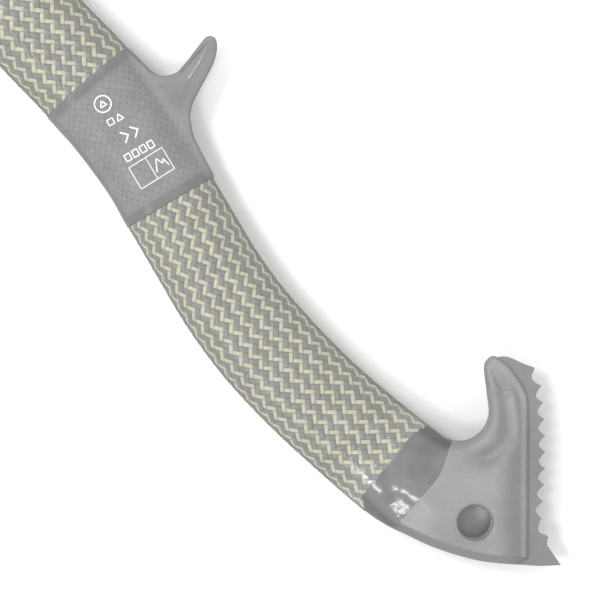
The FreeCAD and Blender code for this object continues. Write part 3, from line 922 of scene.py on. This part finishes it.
def grip_end_field(x, y, z):
    """Pommel and collar as one smooth body: round like the grip at the top, flat-sided below."""
    edge = region_distance(x, y, SILHOUETTE)
    plate_side = region_distance(x, y, PLATE_SIDE)
    s, across = shaft_coordinates(x, y, SPINE_FROM, 30)
    flatness = smoothstep(GRIP_BOTTOM, -15.0, s)
    half = grip_end_half(x, y, s, across, edge, plate_side, flatness)
    rounding = np.minimum(half, 3.0 + (GRIP_THICKNESS / 2 - 2.8) * (1 - flatness))
    body = rounded_slab(edge, z, half, rounding)
    # The back edge of the moulding is a steep flank under a crisp line.
    drop = 0.85 * half
    flank = ((edge + FLANK) * drop + (np.abs(z) - half) * FLANK) / np.hypot(drop, FLANK)
    at_back = smoothstep(4.0, -6.0, x + y) * flatness
    body = np.maximum(body, flank - 3.0 * (1 - at_back))
    return smooth_max(body, plate_side, 1.4)


def pommel_field(x, y, z):
    """The moulded part below the collar's line, with the hole for the ferrule."""
    body = smooth_max(grip_end_field(x, y, z), region_distance(x, y, COLLAR_SIDE), 0.3)
    return smooth_max(body + 0.03, FERRULE_RADIUS - 0.3 - np.hypot(x, y), 0.04)


# Space between grid points of the pommel's and the collar's meshes.
POMMEL_STEP = 0.42
# How far each half of the pommel stays off the mid-plane.
PARTING_GAP = 0.06


def make_pommel():
    material = moulded_material("satin_moulding", grey(110), grey(121), grey(130))
    low, high = (-28.0, -25.5), (36.0, 43.0)
    for side, name, node in (
        (1, "pommel_right_moulding", "pommel_right_shell"),
        (-1, "pommel_left_moulding", "pommel_left_shell"),
    ):
        def half_field(x, y, z, side=side):
            return smooth_max(pommel_field(x, y, z), PARTING_GAP - side * z, 0.25)
        bottom, top = sorted((-1.2 * side, 12.4 * side))
        made = field_mesh(name, half_field, (*low, bottom), (*high, top), POMMEL_STEP)
        x, y, z = drawing_points(made.data).T
        edge = region_distance(x, y, SILHOUETTE)
        back = smoothstep(4.0, -6.0, x + y)
        mark_sides(made.data)
        # Mask of the steep back flank, which the moulding's material paints darker as painted shade.
        point_values(made.data, "flank", back * smoothstep(-FLANK - 0.2, -FLANK + 0.3, edge))
        made.data.materials.append(material)
        finish_piece(made, "pommel_moulding", node)


def collar_field(x, y, z):
    """The part of the grip's end above the moulding's boundary, a hair below its surface."""
    s, across = shaft_coordinates(x, y, SPINE_FROM, 30)
    body = smooth_max(grip_end_field(x, y, z) + 0.04, s - GRIP_BOTTOM - 0.6, 0.5)
    return smooth_max(body, -region_distance(x, y, COLLAR_SIDE) - 0.8, 0.3)


def make_collar():
    low, high = (-30.0, 5.0, -12.0), (9.0, 37.0, 12.0)
    made = field_mesh("pommel_collar_moulding", collar_field, low, high, POMMEL_STEP)
    mark_sides(made.data)
    made.data.materials.append(resin_material())
    finish_piece(made, "glossy_resin", "pommel_collar")


def flat_piece(name, line, half, width):
    """Slab with the given outline on both sides of the mid-plane, and broken edges."""
    count = len(line)
    points = [(x, y, -half) for x, y in line] + [(x, y, half) for x, y in line]
    caps = [list(range(count))[::-1], list(range(count, 2 * count))]
    sides = [(k, (k + 1) % count, count + (k + 1) % count, count + k) for k in range(count)]
    made = mesh_object(name, points, caps + sides, smooth=False)
    soften(made, width)
    return made


def soften(made, width):
    """Edges bevelled by a width in metres, with shading that stays flat on the faces."""
    bevel = made.modifiers.new("broken_edges", "BEVEL")
    bevel.width = width
    bevel.segments = 2
    bevel.limit_method = "ANGLE"
    bevel.angle_limit = math.radians(28)
    bevel.harden_normals = True
    even = made.modifiers.new("flat_faces", "WEIGHTED_NORMAL")
    even.weight = 100
    made.data.polygons.foreach_set("use_smooth", [True] * len(made.data.polygons))
    made.data.update()


def plate_outline():
    """Spike below, teeth up the front, and a back that lies inside the moulding."""
    outline = trace((16.0, -24.3), [
        ("line", (15.4, -17.3)),
        ("curve", (15.9, -16.1), (17.0, -15.1)),
        ("curve", (16.5, -14.2), (15.6, -13.4), (15.3, -12.2), (15.9, -10.9), FIRST_TOOTH),
    ])[:-1]
    outline += tooth_row()
    outline += trace(LAST_TOOTH, [
        ("curve", (36.9, 26.6), (36.4, 28.0), (36.8, 29.3), (38.8, 30.8)),
        ("curve", (36.3, 33.8), (34.4, 36.6), (32.6, 38.3), (30.2, 39.4)),
        ("line", (26.0, 33.0)),
        ("line", (14.0, 9.0)),
        ("line", (3.0, -10.0)),
        ("line", (5.4, -18.0)),
        ("curve", (10.3, -21.3), (16.0, -24.3)),
    ])[1:-1]
    return outline


def make_plate():
    made = flat_piece("spike_plate_blade", plate_outline(), PLATE_HALF, 0.00022)
    made.data.materials.append(moulded_material("coated_plate", grey(100), grey(110), grey(118), grain=0.6))
    finish_piece(made, "coated_spike_steel", "spike_plate")


# ---- printed marks

# Space between points along a printed line, and the heights of the ink's face and back over the skin.
INK_STEP = 0.35
INK_FACE = 0.035
INK_BACK = -0.2


def cuff_height(x, y):
    """Height of the cuff's skin over drawing points, above the mid-plane."""
    s, across = shaft_coordinates(x, y, CUFF_BOTTOM, CUFF_TOP)
    radius, flat = cuff_section(s)
    return np.sqrt(np.maximum(radius ** 2 - np.maximum(np.abs(across) - flat, 0.0) ** 2, 0.0))


def unit_rows(vectors):
    return vectors / np.linalg.norm(vectors, axis=1, keepdims=True)


def stroke(line, width, closed=False):
    """Left and right edges of a printed line, and whether it closes on itself."""
    line = np.array(line, float)
    fine = []
    ends = np.roll(line, -1, axis=0) if closed else line[1:]
    for a, b in zip(line, ends):
        steps = max(1, math.ceil(np.linalg.norm(b - a) / INK_STEP))
        fine += [a + (b - a) * k / steps for k in range(steps)]
    if not closed:
        fine.append(line[-1])
    fine = np.array(fine)
    ahead = np.roll(fine, -1, axis=0) - fine
    behind = fine - np.roll(fine, 1, axis=0)
    if not closed:
        ahead[-1], behind[0] = behind[-1], ahead[0]
    along = unit_rows(unit_rows(ahead) + unit_rows(behind))
    side = np.stack([-along[:, 1], along[:, 0]], axis=1) * width / 2
    return fine + side, fine - side, closed


def box(x, y, width, height):
    return [(x, y), (x + width, y), (x + width, y + height), (x, y + height)]


def sign_strokes():
    """Generic signs: triangle in a ring, box, triangle, chevrons, row of boxes, peak in a frame."""
    strokes = [
        stroke([polar((-33.7, 163.6), 2.5, 12 * k) for k in range(30)], 0.42, True),
        stroke([(-34.7, 162.9), (-33.7, 164.6), (-32.7, 162.9)], 0.45, True),
        stroke(box(-35.2, 156.9, 1.8, 1.8), 0.36, True),
        stroke([(-32.4, 156.9), (-30.3, 156.9), (-31.35, 158.8)], 0.36, True),
        stroke([(-36.4, 135.9), (-24.8, 136.3), (-24.9, 143.6), (-36.5, 143.2)], 0.28, True),
        stroke([(-30.6, 136.1), (-30.7, 143.4)], 0.25),
        stroke([(-29.8, 137.8), (-28.2, 141.6), (-27.0, 139.4), (-26.3, 140.6), (-25.6, 138.0)], 0.36),
    ]
    for x in (-33.6, -30.3):
        strokes.append(stroke([(x, 153.7), (x + 1.9, 151.9), (x, 150.1)], 0.5))
    for place in range(4):
        strokes.append(stroke(box(-36.0 + 2.6 * place, 145.0, 1.7, 2.1), 0.4, True))
    return strokes


def make_marks():
    """Every line of ink as a thin closed ribbon on the cuff's skin."""
    points, faces = [], []
    for left, right, closed in sign_strokes():
        start, count = len(points), len(left)
        for rail, lift in ((left, INK_FACE), (right, INK_FACE), (right, INK_BACK), (left, INK_BACK)):
            z = cuff_height(rail[:, 0], rail[:, 1]) + lift
            points += list(np.column_stack([rail, z]))
        spans = range(count) if closed else range(count - 1)
        for k in spans:
            n = (k + 1) % count
            for rail in range(4):
                a, b = start + rail * count, start + (rail + 1) % 4 * count
                faces.append((a + k, b + k, b + n, a + n))
        if not closed:
            for k, turn in ((0, 1), (count - 1, -1)):
                faces.append([start + rail * count + k for rail in range(4)][::turn])
    made = mesh_object("cuff_printed_marks", points, faces, smooth=False)
    made.data.materials.append(print_material())
    finish_piece(made, "carbon_cuff")


# ---- sleeves and metal parts

def make_sleeves():
    pale = tow_material("pale_tow", linear(106, 104, 88), linear(148, 146, 128), linear(159, 157, 139))
    dark = tow_material("dark_tow", grey(84, -2), grey(103, -3), grey(114, -4))
    for name, node, start, end in (
        ("grip_braid", "grip_sleeve", GRIP_BOTTOM - 1.5, CUFF_BOTTOM + 2.5),
        ("upper_braid", "upper_sleeve", CUFF_TOP - 2.5, SPINE_LENGTH - 3.0),
    ):
        made = braid_sleeve(name, start, end)
        for material in (pale, dark):
            made.data.materials.append(material)
        finish_piece(made, "aramid_carbon_braid", node)


def softened_copy(node, name, slot, material, width):
    """Piece with the CAD node's shape and edges broken by a width in metres, in that node's place."""
    source = frame["nodes"][node]
    mesh = source.data.copy()
    mesh.transform(source.matrix_world)
    mesh.materials.clear()
    mesh.materials.append(material)
    work = bmesh.new()
    work.from_mesh(mesh)
    bmesh.ops.remove_doubles(work, verts=work.verts, dist=2e-6)
    bmesh.ops.dissolve_limit(work, angle_limit=math.radians(1.0), verts=work.verts, edges=work.edges)
    for face in work.faces:
        face.material_index = 0
    work.to_mesh(mesh)
    work.free()
    made = linked(name, mesh)
    soften(made, width)
    finish_piece(made, slot, node)


def make_metal():
    alloy = anodised_material()
    pick = steel_material("ground_steel", linear(138, 139, 142), 0.42, turn=0.35)
    turned = steel_material("turned_steel", linear(118, 119, 122), 0.42, (30, 1, 1), 0.35)
    bright = steel_material("bright_steel", grey(136, 2), 0.36, (1, 1, 20))
    for slot, material, rows in (
        ("head_alloy", alloy, (
            ("head_core", "head_core_body", 0.0004),
            ("head_right_cheek", "head_right_cheek_plate", 0.0008),
            ("head_left_cheek", "head_left_cheek_plate", 0.0008),
        )),
        ("pick_steel", pick, (("pick", "pick_blade", 0.0003),)),
        ("hammer_steel", turned, (("hammer", "hammer_head", 0.0005),)),
        ("fastener_steel", bright, (
            ("pick_bolts", "pick_bolt_set", 0.0003),
            ("pick_nuts", "pick_nut_set", 0.0002),
            ("pick_washers", "pick_washer_set", 0.00015),
            ("hammer_bolt", "hammer_bolt_body", 0.0003),
            ("hammer_nut", "hammer_nut_body", 0.0002),
            ("cheek_rivets", "cheek_rivet_set", 0.0003),
        )),
        ("ferrule_alloy", ferrule_material(), (("lanyard_ferrule", "lanyard_ferrule_ring", 0.00005),)),
    ):
        for node, name, width in rows:
            softened_copy(node, name, slot, material, width)
    carbon = moulded_material("bare_carbon", grey(60), grey(74), grey(88), 0.35)
    # The head collar and the parts hidden inside keep the CAD's own meshes.
    for node, material in (
        ("head_collar", bpy.data.objects["pommel_collar_moulding"].data.materials[0]),
        ("head_pins", bright), ("plate_dowels", bright), ("shaft_tube", carbon), ("pommel_spigot", carbon),
    ):
        for slot in frame["nodes"][node].material_slots:
            slot.material = material


# ---- floor, light and camera

FRAME_CENTRE = (-12.0, 83.6)
FRAME_WIDTH = 0.180
IMAGE_TURN = math.radians(30)
IMAGE_UP = Vector((math.sin(IMAGE_TURN), math.cos(IMAGE_TURN), 0))
CAMERA_HEIGHT = 1.6
FLOOR_REACH = 6000
# The dome is DOME_SIDE strong up to the height DOME_TURN on a unit sphere, falling to DOME_TOP overhead.
DOME_SIDE = 1.6
DOME_TOP = 1.0
DOME_TURN = 0.6
# Each light's name, place from the picture's middle and width in metres, and power in watts.
LIGHTS = (
    ("key", (-0.38, -0.14, 0.98), 0.22, 3.2),
    ("second_key", (-0.33, 0.52, 0.95), 0.3, 5.2),
)


def make_floor():
    corners = box(-FLOOR_REACH, -FLOOR_REACH, 2 * FLOOR_REACH, 2 * FLOOR_REACH)
    made = mesh_object("floor", [(x, y, -HALF) for x, y in corners], [(0, 1, 2, 3)], smooth=False)
    graph = Graph("pale_floor", Roughness=0.75)
    cloud = graph.noise(graph.position(), 3.0, 3.0)
    graph.use(Base_Color=graph.ramp(cloud, (0.3, grey(218, -1)), (0.7, grey(222, -1))))
    made.data.materials.append(graph.made)


def make_world():
    """White dome, dimmer overhead so that glossy faces turned up stay dark."""
    world = bpy.data.worlds.new("studio")
    bpy.context.scene.world = world
    world.use_nodes = True
    tree = world.node_tree
    background = tree.nodes["Background"]
    background.inputs["Color"].default_value = (1, 1, 1, 1)
    place = tree.nodes.new("ShaderNodeTexCoord")
    split = tree.nodes.new("ShaderNodeSeparateXYZ")
    level = tree.nodes.new("ShaderNodeMapRange")
    for socket, value in enumerate((DOME_TURN, 1.0, DOME_SIDE, DOME_TOP), start=1):
        level.inputs[socket].default_value = value
    tree.links.new(place.outputs["Generated"], split.inputs[0])
    tree.links.new(split.outputs[2], level.inputs[0])
    tree.links.new(level.outputs[0], background.inputs["Strength"])


def make_light(name, place, target, size, power):
    """Disc light at a place, turned to its target."""
    data = bpy.data.lights.new(name, "AREA")
    data.shape = "DISK"
    data.size = size
    data.energy = power
    made = linked(name, data)
    made.location = place
    made.rotation_mode = "QUATERNION"
    made.rotation_quaternion = (target - place).to_track_quat("-Z", "Y")


def make_camera():
    """Long lens straight above the middle of the photographed part, turned as in the photograph."""
    data = bpy.data.cameras.new("camera")
    made = linked("camera", data)
    centre = Vector(placed((*FRAME_CENTRE, 0)))
    back = Vector((0, 0, 1))
    right = IMAGE_UP.cross(back)
    made.matrix_world = Matrix.LocRotScale(
        centre + back * CAMERA_HEIGHT, Matrix((right, IMAGE_UP, back)).transposed(), None)
    data.lens = data.sensor_width * CAMERA_HEIGHT / FRAME_WIDTH
    data.clip_start, data.clip_end = 0.05, 50
    bpy.context.scene.camera = made


def make_studio():
    make_floor()
    make_world()
    middle = Vector(placed((*FRAME_CENTRE, 0)))
    for name, offset, size, power in LIGHTS:
        make_light(name, middle + Vector(offset), middle, size, power)
    make_camera()
    bpy.context.scene.view_settings.view_transform = "Standard"


make_sleeves()
make_cuff()
make_pommel()
make_collar()
make_plate()
make_marks()
make_metal()
make_studio()
